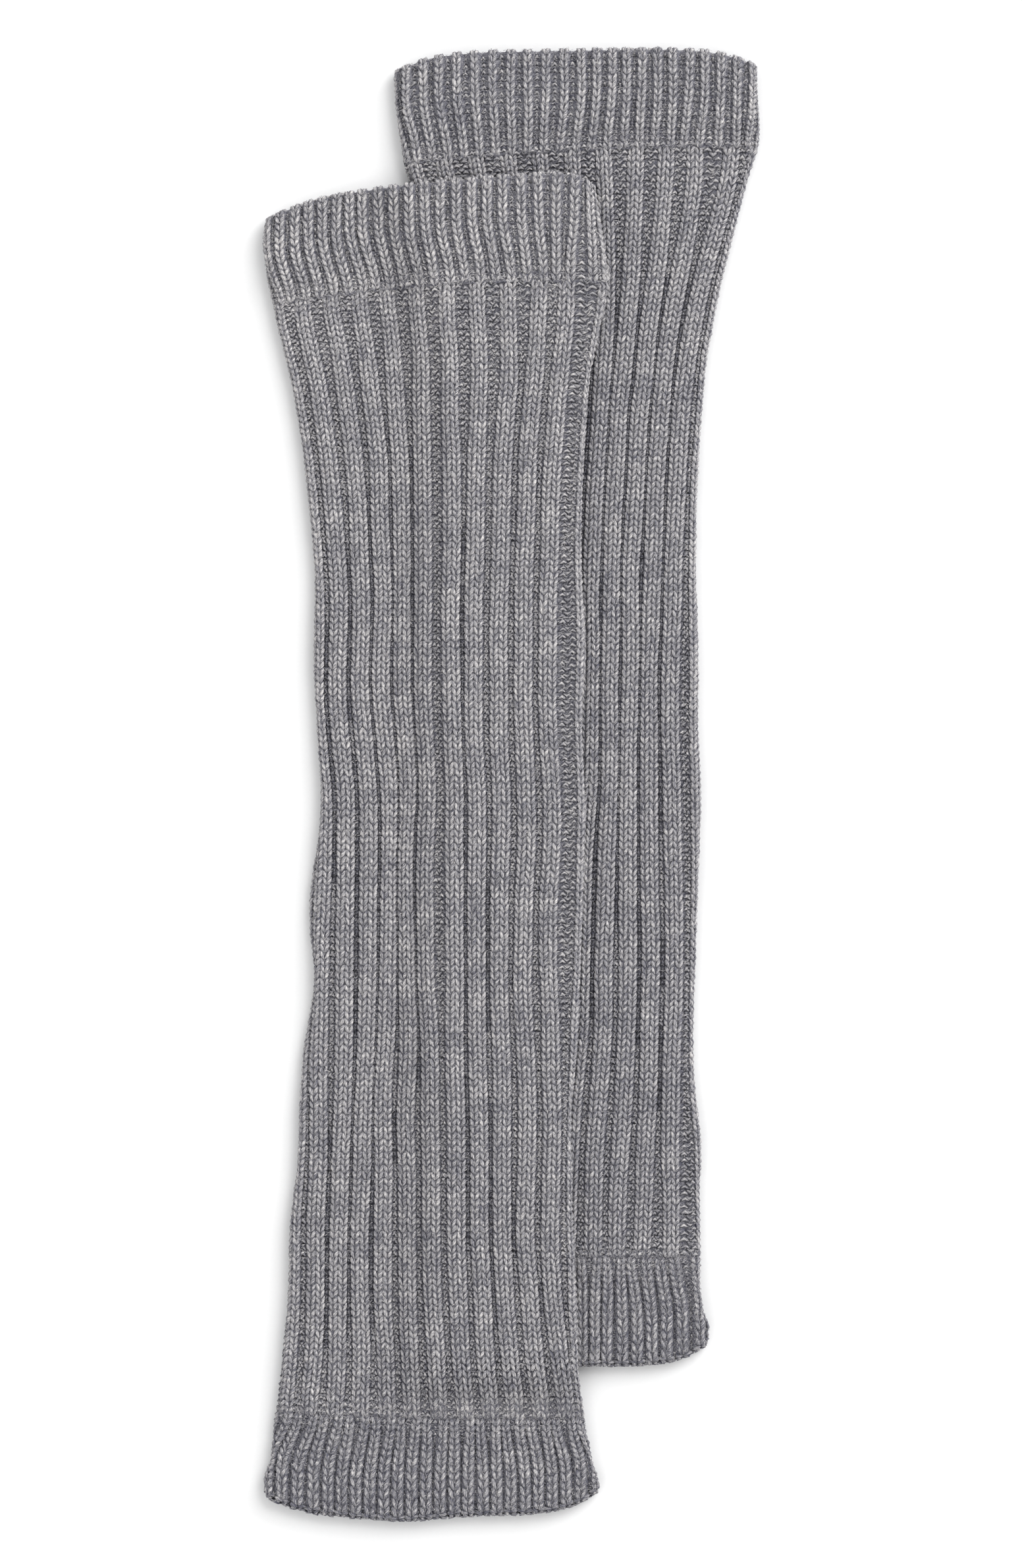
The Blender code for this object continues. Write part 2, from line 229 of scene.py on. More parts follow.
# The stitches that are knit and those that are purl
LEG_KNITS = (4 * np.arange(LEG_RIBS)[:, None] + [-0.5, 0.5]).ravel()
LEG_PURLS = 4 * np.arange(LEG_RIBS) + 2.0
CUFF_KNITS = 2 * np.arange(STITCHES // 2) + 0.5
CUFF_PURLS = CUFF_KNITS + 1.0

# Stitches and where they lie across the opened-out face at a cuff's edge, fold to fold
FRONT_TOP_FACE = [(-0.5, -86.2), (4.5, -73.4), (14.5, -50), (22.5, -29.2), (32.5, -2.8),
                  (42.5, 27.3), (44.2, 30.75)]
FRONT_ANKLE_FACE = [(-4.7, -86.4), (-1.5, -77.9), (0.5, -72.5), (4.5, -62), (10.5, -48.1),
                    (16.5, -33.6), (28.5, -4.9), (40.5, 23.8), (43.4, 32.2)]
BACK_TOP_FACE = [(-1.7, -42.1), (4.5, -24.5), (12.5, -0.1), (20.5, 24), (28.5, 44.4),
                 (36.5, 65.6), (43.8, 86.25)]
BACK_ANKLE_FACE = [(5, -26.65), (26.5, 24.2), (30.5, 32.65), (40.5, 58), (44, 68.9)]

# How much lighter the wool is made in the top cuff, at the leg's top and foot, and in the ankle
# cuff
FRONT_LIGHTNESS = (0.0, -0.29, -0.56, -0.79)
BACK_LIGHTNESS = (-0.44, -0.47, -0.7, -0.75)


def smooth(part):
    """An even rise from 0 to 1, flat at both ends."""
    part = np.clip(part, 0, 1)
    return part * part * (3 - 2 * part)


def at_end(rows_off, amount, reach, fade):
    """What is left, some rows off the end of a tube, of an amount that fades out."""
    return amount * smooth((reach - rows_off) / fade)


def softened(line):
    """A line down the rows without its corners."""
    padded = np.pad(line, SOFT_ROWS, mode="reflect", reflect_type="odd")
    weights = np.hanning(2 * SOFT_ROWS + 3)
    return np.convolve(padded, weights[1:-1] / weights.sum(), mode="valid")


def column_of(courses, field):
    """One value down a list of courses, with the heights of the courses' middles."""
    heights = [(course.left_y + course.right_y) / 2 for course in courses]
    values = [getattr(course, field) for course in courses]
    return heights[::-1], values[::-1]


def seam_room(courses, top, foot):
    """The courses with a little room left at each seam."""
    courses = list(courses)
    for index, end, room in ((0, top, -SEAM_ROOM), (-1, foot, SEAM_ROOM)):
        if end == "seam":
            last = courses[index]
            courses[index] = last._replace(left_y=last.left_y + room, right_y=last.right_y + room)
    return courses


def over_back(x, y):
    """Height of the front leg warmer's underside, which climbs onto the back one."""
    side = (BACK_LEG + BACK_ANKLE)[::-1]
    fold = np.interp(y, [course.left_y for course in side], [course.left_x for course in side])
    hem = BACK_ANKLE[-1]
    from_fold = x - fold + CLIMB - SETTLE
    from_hem = y - (min(hem.left_y, hem.right_y) + hem.bow) + DROP - SETTLE
    return LIFT * smooth(from_fold / CLIMB) * smooth(from_hem / DROP)


def on_floor(x, y):
    """Height of the back leg warmer's underside."""
    return np.zeros_like(x)


def wander(count, step, size):
    """A gentle random drift over a number of rows."""
    knots = np.arange(-step, count + 2 * step, step)
    values = rng.normal(0.0, size, len(knots))
    drift = np.interp(np.arange(count), knots, values)
    weights = np.hanning(2 * step + 1)
    padded = np.pad(drift, step, mode="edge")
    return np.convolve(padded, weights / weights.sum(), mode="valid")


class Tube:
    """A knitted tube laid flat: where each of its stitches and rows lies.

    Stitches count round the tube to the right over its face from the left fold's rib, and on
    underneath.  Turns count rows down the outside, then round the foot's edge, up the inside and
    over the top's edge.  Bands are the strips of knit and purl stitches, and their edges are
    given across the opened-out face, one line for each edge.
    """

    def __init__(self, courses, row_heights, knit, top, foot, underside, hidden):
        self.height, self.rise, self.crown, self.band, self.first = knit
        self.underside = underside
        self.hidden = hidden
        courses = seam_room(courses, top, foot)
        # how far the rounding at an edge goes on past the last row
        self.reach = (self.height / 2 - YARN - SLOT / 2) / 2 + YARN
        heights, _ = column_of(courses, "bow")
        high = heights[-1] - self.reach * (top == "edge")
        low = heights[0] + self.reach * (foot == "edge")
        # the rows' heights, closer together where the stitches are shorter
        steps = 1999
        fine = np.linspace(high, low, steps + 1)
        pitch = np.interp(fine, *np.array(row_heights)[::-1].T)
        counted = np.concatenate([[0.0], np.cumsum((high - low) / steps / pitch[1:])])
        self.rows = int(round(counted[-1]))
        self.level = np.interp(np.arange(self.rows + 1) * counted[-1] / self.rows, counted, fine)
        for field in Course._fields:
            heights, values = column_of(courses, field)
            if field.endswith("_y"):
                line = self.level + np.interp(self.level, heights, np.subtract(values, heights))
            else:
                line = np.interp(self.level, heights, values)
            if field.endswith("_x") and knit is LEG_KNIT:
                line = softened(line)
            setattr(self, field, line)
        edge_length = math.pi * (self.reach - YARN)
        self.over_top = edge_length / pitch[0]
        self.over_foot = edge_length / pitch[-1]
        self.round = 2 * self.rows + self.over_top + self.over_foot
        self.waist = self.notch = self.dye = np.zeros(self.rows + 1)
        self.edges = self.above = self.below = None

    def girth(self):
        """Length round the flattened tube at each row."""
        flat = self.right_x - self.left_x - self.height
        return 2 * flat + math.pi * self.height

    def pick(self, values, row, line=...):
        """A value given row by row, at any row, on the one line or on each place's own."""
        low = np.clip(np.floor(row).astype(int), 0, self.rows - 1)
        part = np.clip(row - low, 0, 1)
        return values[line, low] * (1 - part) + values[line, low + 1] * part

    def across(self, stitch, row):
        """Distance across the opened-out face, whether the band is knit, and where in it."""
        laps = np.floor((stitch - self.first) / STITCHES)
        place = (stitch - self.first - laps * STITCHES) / self.band
        index = np.clip(np.floor(place).astype(int), 0, len(self.edges) - 2)
        part = place - index
        left, right = [self.pick(self.edges, row, index + side) for side in (0, 1)]
        distance = left + (right - left) * part + laps * self.pick(self.girth(), row)
        return distance, index % 2 == 0, part

    def base(self, stitch, turn):
        """Points on the cloth."""
        turn = np.mod(turn, self.round)
        foot_end = self.rows + self.over_foot
        inside_end = foot_end + self.rows
        row = np.where(turn <= foot_end, np.minimum(turn, self.rows), inside_end - turn)
        row = np.clip(row, 0, self.rows)
        foot_turn = np.clip((turn - self.rows) / self.over_foot, 0, 1)
        top_turn = np.clip((turn - inside_end) / self.over_top, 0, 1)
        angle = math.pi * (foot_turn - top_turn)
        bulge = np.where(turn < foot_end, -1.0, 1.0)

        distance, knit, part = self.across(stitch, row)
        left = self.pick(self.left_x, row)
        right = self.pick(self.right_x, row)
        half = self.height / 2
        fold = math.pi * half
        flat = right - left - 2 * half
        girth = 2 * flat + 2 * fold
        start = left + half
        # measured from the left end of the face's flat part, through the right fold and back
        run = np.mod(distance - start + fold, girth) - fold
        right_fold = np.clip(run - flat, 0.0, fold)
        under = np.clip(run - flat - fold, 0.0, flat)
        spine = start + np.clip(run, 0.0, flat) - under
        turned = math.pi / 2 - np.clip(run, -fold, 0.0) / half - right_fold / half

        # how far the cloth lies under the tube's full height
        rounding = self.crown * np.abs(2 * part - 1) ** 2
        valley = smooth(np.minimum(part, 1 - part) / VALLEY_SIDE)
        deep = self.rise + self.pick(self.notch, row) - self.crown
        hollow = np.where(knit, rounding, self.crown + deep * valley)
        hollow = hollow * (FOLD_RELIEF + (1 - FOLD_RELIEF) * np.sin(turned))
        hollow = hollow + self.pick(self.waist, row) * np.maximum(np.sin(turned), 0.0)
        outside = half - YARN - hollow
        inside = SLOT / 2
        middle = (outside + inside) / 2
        wall = (outside - inside) / 2
        radius = middle + wall * np.cos(angle)
        x = spine + radius * np.cos(turned)
        share = np.clip((x - left) / (right - left), 0, 1)
        y = self.pick(self.left_y, row)
        y = y + (self.pick(self.right_y, row) - y) * share
        lean = self.pick(self.lean, row) * np.where(share > 0.5, 1.0, -1.0)
        bow = 1 - np.abs(2 * share - 1) ** (self.pick(self.square, row) * (1.0 + lean))
        y = y + self.pick(self.bow, row) * bow + bulge * wall * np.sin(np.abs(angle))
        y = y + self.pick(self.sag, row) * np.exp(-((share - SAG_PLACE) / SAG_REACH) ** 2)
        z = half + radius * np.sin(turned) + self.underside(x, y)
        return np.stack([x, y, z], axis=-1)

    def joined(self, stitch, row):
        """Points on the outside, going on over a seam onto the next tube."""
        points = self.base(stitch, row)
        over = row < 0
        under = row > self.rows
        if self.above is not None and over.any():
            points[over] = self.above.base(stitch[over], row[over] + self.above.rows)
        if self.below is not None and under.any():
            points[under] = self.below.base(stitch[under], row[under] - self.rows)
        return points

    def place(self, stitch, turn, out=0.0):
        """Points over the cloth by a distance, and the way out of the cloth there."""
        step = 0.04
        stitch, turn = np.broadcast_arrays(stitch, turn)
        points = self.joined(stitch, turn)
        along = self.joined(stitch + step, turn) - self.joined(stitch - step, turn)
        down = self.joined(stitch, turn + step) - self.joined(stitch, turn - step)
        outward = unit(np.cross(down, along))
        return points + outward * np.asarray(out)[..., None], outward

    def up(self, stitch, row):
        """How much of the cloth's way out is upwards, from -1 to 1."""
        return self.place(stitch, row)[1][:, 2]

    def covered(self, stitch, row):
        """Which places lie under the other leg warmer."""
        spot = self.base(stitch, row)
        return self.hidden(spot[:, 0], spot[:, 1])


def unit(vectors):
    """Vectors at length one."""
    return vectors / np.maximum(np.linalg.norm(vectors, axis=-1, keepdims=True), 1e-9)


def rib_edges(tube, table):
    """Edges of the leg's knit bands from the middles of its ribs, all round the tube."""
    table = np.array(table)[::-1].T
    middles = [softened(np.interp(tube.level, table[0], line)) for line in table[1:]]
    # a rib on a fold is given where it would lie if the fold were opened out flat
    spacing = (middles[-2] - middles[0]) / (len(middles) - 2)
    missing = FACE_RIBS - len(middles)
    middles = [middles[0] - spacing * (missing - i) for i in range(missing)] + middles
    middles = [middles[0] - 2 * RIB_SPACING, middles[0] - RIB_SPACING] + middles
    # the other ones underneath, evenly, and the first one again
    first_again = middles[0] + tube.girth()
    rest = first_again - middles[-1]
    gaps = LEG_RIBS - len(middles) + 1
    hidden = [middles[-1] + rest * i / gaps for i in range(1, gaps)]
    middles = np.array(middles + hidden + [first_again])
    for line in middles[1:-1]:
        line += wander(tube.rows + 1, *LEG_WANDER)
    closest = closest_gaps(middles)
    half = np.minimum(KNIT_HALF, (closest - NARROW_VALLEY) / 2)
    half = half * (1 - STRETCHED_LOSS * smooth((closest - STRETCHED_FROM) / STRETCHED_BY))
    return band_edges(middles, half)


def closest_gaps(middles):
    """How far each line lies from the nearer of the two beside it."""
    gaps = np.diff(middles, axis=0)
    gaps = np.concatenate([gaps[:1], gaps, gaps[-1:]])
    return np.minimum(gaps[:-1], gaps[1:])


def band_edges(middles, half):
    """The two edges of each knit band, one after another, to the first one's left edge again."""
    return np.stack([middles - half, middles + half], axis=1).reshape(-1, middles.shape[1])[:-1]


def cuff_edges(cuff, leg, seam_row, cuff_seam_row, face, knit_half):
    """Edges of the cuff's fine ribs, from the leg's stitches at the seam to the cuff's edge.

    The face is a list of stitches and where they lie across the opened-out face at the edge,
    from the left fold to the right one.
    """
    columns = cuff.first + 0.5 + 2 * np.arange(STITCHES // 2 + 1)
    at_seam = leg.across(columns, np.full(len(columns), float(seam_row)))[0]
    girth = cuff.girth()[cuff.rows - cuff_seam_row]
    named, places = map(list, zip(*face))
    # the stitches round the back, evenly
    named = [named[-1] - STITCHES] + named + [named[0] + STITCHES]
    places = [places[-1] - girth] + places + [places[0] + girth]
    at_edge = np.interp(columns, named, places)
    from_seam = np.abs(np.arange(cuff.rows + 1) - cuff_seam_row)
    even = smooth(from_seam / (cuff.rows * CUFF_SETTLES))
    middles = at_seam[:, None] * (1 - even) + at_edge[:, None] * even
    for line in middles[1:-1]:
        line += wander(cuff.rows + 1, *CUFF_WANDER)
    middles[-1] = middles[0] + cuff.girth()
    half = np.minimum(knit_half, CUFF_KNIT_SHARE * closest_gaps(middles))
    return band_edges(middles, half)


# ---- Materials ----

class Wire(namedtuple("Wire", "recipe socket")):
    """A value that runs from one shader node to the next, and adds and multiplies like one."""

    def __add__(self, other):
        return self.recipe.maths("ADD", self, other)

    def __sub__(self, other):
        return self.recipe.maths("SUBTRACT", self, other)

    def __rsub__(self, other):
        return self.recipe.maths("SUBTRACT", other, self)

    def __mul__(self, other):
        return self.recipe.maths("MULTIPLY", self, other)

    __radd__ = __add__
    __rmul__ = __mul__


class Recipe:
    """The shader nodes of one material."""

    def __init__(self, name):
        self.material = bpy.data.materials.new(name)
        self.material.use_nodes = True
        self.tree = self.material.node_tree
        self.shader = self.tree.nodes["Principled BSDF"]

    def feed(self, socket, value):
        """Link a wire to a socket, or set the socket to a number, colour or vector."""
        if isinstance(value, Wire):
            self.tree.links.new(value.socket, socket)
        else:
            socket.default_value = value

    def add(self, kind, settings=None, sockets=None, output=0):
        """Any node: its type, its settings, then the values or wires for its sockets."""
        node = self.tree.nodes.new(kind)
        for name, value in (settings or {}).items():
            setattr(node, name, value)
        for name, value in (sockets or {}).items():
            self.feed(node.inputs[name], value)
        return Wire(self, node.outputs[output])

    def maths(self, operation, first, second):
        """A Math node."""
        return self.add("ShaderNodeMath", {"operation": operation}, {0: first, 1: second})

    def clamped(self, value):
        """The value held between 0 and 1."""
        return self.add("ShaderNodeClamp", None, {"Value": value})

    def mix(self, amount, first, second):
        """A colour between two colours; these are the node's sockets for colours."""
        sockets = {0: amount, 6: first, 7: second}
        return self.add("ShaderNodeMix", {"data_type": "RGBA"}, sockets, output=2)

    def noise(self, place, scale, detail=2.0, roughness=0.5):
        """Cloudy noise, about 0.5."""
        sockets = {"Vector": place, "Scale": scale, "Detail": detail, "Roughness": roughness}
        return self.add("ShaderNodeTexNoise", None, sockets)

    def cloud(self, scale, roughness=0.5):
        """Noise that lies still in the object, so many waves a metre."""
        place = self.add("ShaderNodeTexCoord", output="Object")
        return self.noise(place, scale, roughness=roughness)

    def surface(self, name, value):
        """Set or feed one of the surface's inputs."""
        self.feed(self.shader.inputs[name], value)

    def bump(self, height, distance, strength=1.0):
        """Relief of a height, and the distance in metres that 1 stands for."""
        sockets = {"Height": height, "Distance": distance, "Strength": strength}
        relief = self.add("ShaderNodeBump", None, sockets)
        self.surface("Normal", relief)


# The dark and pale fibre colours are also those of the painted shade and painted light: the bluish
# dark tints the painted shade, the warm pale the painted light on the strands' tops
DARK_FIBRE_AND_SHADE = (0.088, 0.089, 0.1215, 1.0)
GREY_FIBRE = (0.378, 0.37, 0.3861, 1.0)
PALE_FIBRE_AND_LIGHT = (0.82, 0.785, 0.7624, 1.0)
PLY_TWIST = 0.42  # millimetres round the strand for each one along it


def wool_finish(recipe):
    """The soft dull finish that all the wool shares."""
    for socket, value in (("Roughness", 0.95), ("Specular IOR Level", 0.15),
                          ("Sheen Weight", 0.12), ("Sheen Roughness", 0.45)):
        recipe.surface(socket, value)


def yarn_wool():
    """Heather yarn: pale and dark fibres that lie along the strand with the ply's twist."""
    recipe = Recipe("heather_yarn")
    place = recipe.add("ShaderNodeUVMap", {"uv_map": "yarn"})
    across, along = [recipe.add("ShaderNodeSeparateXYZ", None, {"Vector": place}, output=axis)
                     for axis in "XY"]
    twisted = across + along * PLY_TWIST

    def fibre_noise(across_scale, along_scale):
        """Long thin streaks, so many a millimetre across the fibres and along the strand."""
        streak = recipe.add("ShaderNodeCombineXYZ", None, {
            "X": twisted * across_scale, "Y": along * along_scale, "Z": across * 0.01})
        return recipe.noise(streak, 1.0, detail=1.0)

    fibres = fibre_noise(3.8, 0.5)
    fine = fibre_noise(8.5, 1.4)
    # this brings the heather's random tone together with the strands' painted shade and painted
    # light
    tone_and_shade = recipe.add("ShaderNodeAttribute", {"attribute_name": "tone_and_shade"}, output="Fac")
    cloud = recipe.cloud(90.0)
    shade = 0.572 + (fibres - 0.5) * 1.4 + (fine - 0.5) * 1.5 + tone_and_shade * 0.18 + (cloud - 0.5) * 0.2
    # dark to grey in the lower half of the shade, grey to pale in the upper half
    low = recipe.clamped(shade * 2.0)
    high = recipe.clamped(shade * 2.0 - 1.0)
    colour = recipe.mix(high, recipe.mix(low, DARK_FIBRE_AND_SHADE, GREY_FIBRE), PALE_FIBRE_AND_LIGHT)
    recipe.surface("Base Color", colour)
    recipe.bump(fibres + fine * 0.5, 0.0005, 0.8)
    wool_finish(recipe)
    return recipe.material


def ground_wool():
    """The cloth between the strands: the same wool, matted and fuzzy, painted dark as painted
    shade.
    """
    recipe = Recipe("heather_ground")
    matted = recipe.cloud(1500.0, roughness=0.6)
    cloud = recipe.cloud(130.0)
    # painted shade: the cloth is held low, near the dark colour
    shade = recipe.clamped(0.36 + (matted - 0.5) * 2.0 + (cloud - 0.5) * 0.2)
    recipe.surface("Base Color", recipe.mix(shade, DARK_FIBRE_AND_SHADE, GREY_FIBRE))
    recipe.bump(matted, 0.0006)
    wool_finish(recipe)
    return recipe.material


def paper():
    """The seamless white floor."""
    recipe = Recipe("white_floor")
    white = recipe.mix(recipe.cloud(900.0), (0.9, 0.9, 0.9, 1.0), (0.93, 0.93, 0.93, 1.0))
    recipe.surface("Base Color", white)
    recipe.surface("Roughness", 0.9)
    return recipe.material


wool = yarn_wool()
ground = ground_wool()


# ---- Yarn ----

# A strand's centre line in stitches, rows and millimetres out of the cloth; its ends are points,
# and the rings between them have these half widths and heights.  The shade is painted shade and
# painted light: how much lighter the yarn is painted at its low sides and on top.  The jitter is
# how unevenly the strands lie.
Strand = namedtuple("Strand", "across down out half high section shade jitter", defaults=(1,))
# A ring's corners, across and out, in half widths and heights
ROUNDED = ((-1, -0.25), (-0.55, 1), (0.55, 1), (1, -0.25))
RIDGED = ((-1, -0.3), (0, 1), (1, -0.3))
KNIT_LEG = Strand(
    (0.01, 0.11, 0.25, 0.39, 0.48), (0.95, 0.5, 0, -0.5, -0.95),
    (-0.6, -0.05, 0.25, 0.02, -0.5), (0.56, 0.74, 0.56), (0.46, 0.6, 0.46), ROUNDED, (-1.5, 0.5))
KNIT_LOOSE = KNIT_LEG._replace(
    across=(0.03, 0.12, 0.25, 0.38, 0.46), half=(0.64, 0.82, 0.64), shade=(-1.5, 0.3))
PLAIN_LEG = Strand(
    (0.03, 0.16, 0.35, 0.46), (0.85, 0.32, -0.34, -0.85),
    (-0.4, 0.1, 0.1, -0.4), (0.8, 0.8), (0.5, 0.5), RIDGED, (-1, -0.3))
PURL_HEAD = Strand(
    (-0.52, -0.28, 0, 0.28, 0.52), (0.34, 0.08, -0.16, 0.08, 0.34),
    (-0.1, 0.5, 0.7, 0.5, -0.1), (0.5, 0.66, 0.5), (0.38, 0.5, 0.38), RIDGED, (-1.6, 1.5), 1.8)
PURL_BELOW = PURL_HEAD._replace(out=(-0.5, 0.1, 0.3, 0.1, -0.5), shade=(-1.8, -1.2))
PURL_FOOT = PURL_HEAD._replace(
    down=(-0.34, -0.08, 0.16, -0.08, -0.34), out=(-0.1, 0.4, 0.6, 0.4, -0.1), shade=(-1.6, 0.8))
NARROW_HEAD = PURL_HEAD._replace(
    across=(-1.05, -0.6, 0, 0.6, 1.05), out=(0, 0.6, 0.8, 0.6, 0), shade=(-1.2, -0.4))
NARROW_FOOT = NARROW_HEAD._replace(down=PURL_FOOT.down, shade=(-1.7, -1))
BOUND_OFF = PURL_HEAD._replace(
    across=(-0.7, -0.35, 0, 0.35, 0.7), down=(0.2, 0, -0.1, 0, 0.2),
    out=(0, 0.5, 0.7, 0.5, 0), half=(0.5, 0.65, 0.5), shade=(-1.1, -0.2))
LINKED = BOUND_OFF._replace(out=(-0.3, 0.2, 0.3, 0.2, -0.3), shade=(-0.7, 0.3))

# Painted shade: the tips and the rings by them lie deep in the cloth and are painted darker
TIP_SHADE = -3.2
RING_SHADE = (-1.0, 0.0, -1.0)

# How far they vary at a jitter of 1: across in stitches, in length, down in rows, out in
# millimetres and in thickness
JITTER = namedtuple("Jitter", "across length down out size")(0.022, 0.05, 0.035, 0.07, 0.06)

# Strands or fibres that are shaped alike
Batch = namedtuple("Batch", "tips rings length half stitch row dye shade")


def strands(tube, kind, stitch, row, mirror=1.0):
    """Lay one strand of a kind at each stitch and row; a mirror of -1 flips it."""
    count = len(stitch)

    def uneven(size):
        """A random difference for each strand."""
        return rng.normal(0, size * kind.jitter, (count, 1))

    across = np.array(kind.across) * np.reshape(mirror, (-1, 1)) + uneven(JITTER.across)
    down = np.array(kind.down) * (1 + uneven(JITTER.length)) + uneven(JITTER.down)
    out = np.array(kind.out) + uneven(JITTER.out)
    centre, outward = tube.place(stitch[:, None] + across, row[:, None] + down, out)
    along = unit(np.gradient(centre, axis=1))
    side = unit(np.cross(outward, along))
    size = 1 + uneven(JITTER.size)
    half = np.array(kind.half) * size
    high = np.array(kind.high) * size
    section = np.array(kind.section)
    rings = centre[:, 1:-1, None]
    rings = rings + side[:, 1:-1, None] * (half[:, :, None] * section[:, 0])[..., None]
    rings = rings + outward[:, 1:-1, None] * (high[:, :, None] * section[:, 1])[..., None]
    steps = np.linalg.norm(np.diff(centre, axis=1), axis=-1)
    length = np.concatenate([np.zeros((count, 1)), np.cumsum(steps, axis=1)], axis=1)
    # painted shade on the corners of the low sides, painted light on the top ones
    shade = np.where(section[:, 1] < 0, kind.shade[0], kind.shade[1])
    shade = shade + np.array(RING_SHADE[:half.shape[1]])[:, None]
    shade = np.concatenate([[TIP_SHADE, TIP_SHADE], shade.ravel()])
    dye = tube.pick(tube.dye, row)
    return Batch(centre[:, [0, -1]], rings, length, half, stitch, row, dye, shade)


def both_legs(tube, kind, stitch, row, keep):
    """The two legs of each knit stitch that is kept."""
    stitch = np.repeat(stitch[keep], 2)
    row = np.repeat(row[keep], 2)
    mirror = np.tile([-1.0, 1.0], len(stitch) // 2)
    return strands(tube, kind, stitch, row, mirror)


def strand_faces(ring_count, corners):
    """The faces of one strand, and each face's corners in its unrolled map."""
    faces = []
    maps = []
    # a fibre, with two corners a ring, is flat and has one side
    for corner in range(corners if corners > 2 else 1):
        after = (corner + 1) % corners
        left = corner / corners
        right = (corner + 1) / corners
        middle = (left + right) / 2
        faces.append((0, 2 + after, 2 + corner))
        maps.append(((middle, 0), (right, 1), (left, 1)))
        for ring in range(ring_count - 1):
            near = 2 + ring * corners
            far = near + corners
            faces.append((near + corner, near + after, far + after, far + corner))
            maps.append(((left, ring + 1), (right, ring + 1), (right, ring + 2), (left, ring + 2)))
        last = 2 + (ring_count - 1) * corners
        faces.append((1, last + corner, last + after))
        maps.append(((middle, ring_count + 1), (left, ring_count), (right, ring_count)))
    return faces, maps


# The yarn's tone drifts along a row, which is one yarn, and changes from stitch to stitch
TONE_ROWS = 260  # more than any tube has
TONE_FIRST = 20  # of them, before a tube's first row
TONE_STEPS = 40  # round a row
TONE_DRIFT = 0.3
TONE_SPREAD = 0.16


def heather_tone(stitch, row):
    """How light the yarn is at each stitch."""
    drift = rng.normal(0.0, TONE_DRIFT, (TONE_ROWS, TONE_STEPS + 1))
    place = np.mod(stitch, STITCHES) / STITCHES * TONE_STEPS
    low = np.floor(place).astype(int)
    part = smooth(place - low)
    line = np.round(row).astype(int) + TONE_FIRST
    along = drift[line, low] * (1 - part) + drift[line, np.minimum(low + 1, TONE_STEPS)] * part
    return along + rng.normal(0.0, TONE_SPREAD, len(stitch))


PATCH_EDGE = 0.06  # left free round each strand's patch of the map
WAY_ROUND = 3.6  # the way round a strand, in half widths
WOOL_LENGTH = 400.0  # millimetres of wool that the strands are cut from


def build_yarn(node, part, batches):
    """One mesh of strands, with one map for its wool and one where each has its own patch."""
    cells = math.ceil(math.sqrt(sum(len(batch.stitch) for batch in batches)))
    points, loops, sizes, patches, lengths, tones_and_shades = [], [], [], [], [], []
    first_point = 0
    first_cell = 0
    for batch in batches:
        count, ring_count, corners = batch.rings.shape[:3]
        per = 2 + ring_count * corners
        cloud = np.concatenate([batch.tips, batch.rings.reshape(count, -1, 3)], axis=1)
        faces, maps = strand_faces(ring_count, corners)
        flat_faces = np.array([point for face in faces for point in face])
        u, v = np.array([corner for face in maps for corner in face]).T
        starts = first_point + np.arange(count) * per
        points.append(cloud.reshape(-1, 3))
        loops.append((starts[:, None] + flat_faces).ravel())
        sizes.append(np.tile([len(face) for face in faces], count))
        cell = first_cell + np.arange(count)[:, None]
        inner = 1 - 2 * PATCH_EDGE
        patch_u = (cell % cells + PATCH_EDGE + inner * u) / cells
        patch_v = (cell // cells + PATCH_EDGE + inner * v / (ring_count + 1)) / cells
        patches.append(np.stack([patch_u.ravel(), patch_v.ravel()], axis=-1))
        way_round = batch.half.max(axis=1)[:, None] * WAY_ROUND
        along = batch.length[:, v.astype(int)]
        offset = rng.uniform(0, WOOL_LENGTH, (count, 1))
        lengths.append(np.stack([(u * way_round + offset).ravel(), (along + offset).ravel()],
                                axis=-1))
        tone_and_shade = heather_tone(batch.stitch, batch.row) + batch.dye
        # each corner's painted shade and painted light join the yarn's tone
        tones_and_shades.append((tone_and_shade[:, None] + batch.shade).ravel())
        first_point += count * per
        first_cell += count
    points = np.concatenate(points)
    # the yarn is pressed flat where it rests on the floor
    points[:, 2] = np.maximum(points[:, 2], FLOOR_ROOM)
    piece = new_mesh(f"{node}_{part}", points, np.concatenate(loops), np.concatenate(sizes), wool)
    add_map(piece.data, "OFBake", np.concatenate(patches))
    add_map(piece.data, "yarn", np.concatenate(lengths))
    tone_and_shade = piece.data.attributes.new("tone_and_shade", "FLOAT", "POINT")
    tone_and_shade.data.foreach_set("value", np.concatenate(tones_and_shades).astype(np.float32))
    finish_piece(piece, node)
    return piece


def new_mesh(name, points, loops, sizes, material):
    """A smooth mesh from points in millimetres and its faces' corners, end to end."""
    mesh = bpy.data.meshes.new(name)
    mesh.vertices.add(len(points))
    mesh.vertices.foreach_set("co", (points * MM).astype(np.float32).ravel())
    mesh.loops.add(len(loops))
    mesh.loops.foreach_set("vertex_index", loops.astype(np.int32))
    mesh.polygons.add(len(sizes))
    starts = np.concatenate([[0], np.cumsum(sizes)[:-1]])
    mesh.polygons.foreach_set("loop_start", starts.astype(np.int32))
    mesh.update(calc_edges=True)
    mesh.shade_smooth()
    mesh.materials.append(material)
    return add_object(name, mesh)


def add_object(name, data):
    """A new object in the scene."""
    thing = bpy.data.objects.new(name, data)
    scene.collection.objects.link(thing)
    return thing


def add_map(mesh, name, corners):
    """A flat map of the mesh, given corner by corner."""
    layer = mesh.uv_layers.new(name=name)
    layer.uv.foreach_set("vector", corners.astype(np.float32).ravel())


def finish_piece(piece, node):
    """What every piece of a leg warmer needs."""
    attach(piece, "root")
    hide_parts(node)


CLOTH_AROUND = 2 * STITCHES
EDGE_LINES = 5  # round each edge of the cloth
# The rows from line to line on its outside and on its inside, and the fewest lines
LINES = ((3, 7), (14, 3))


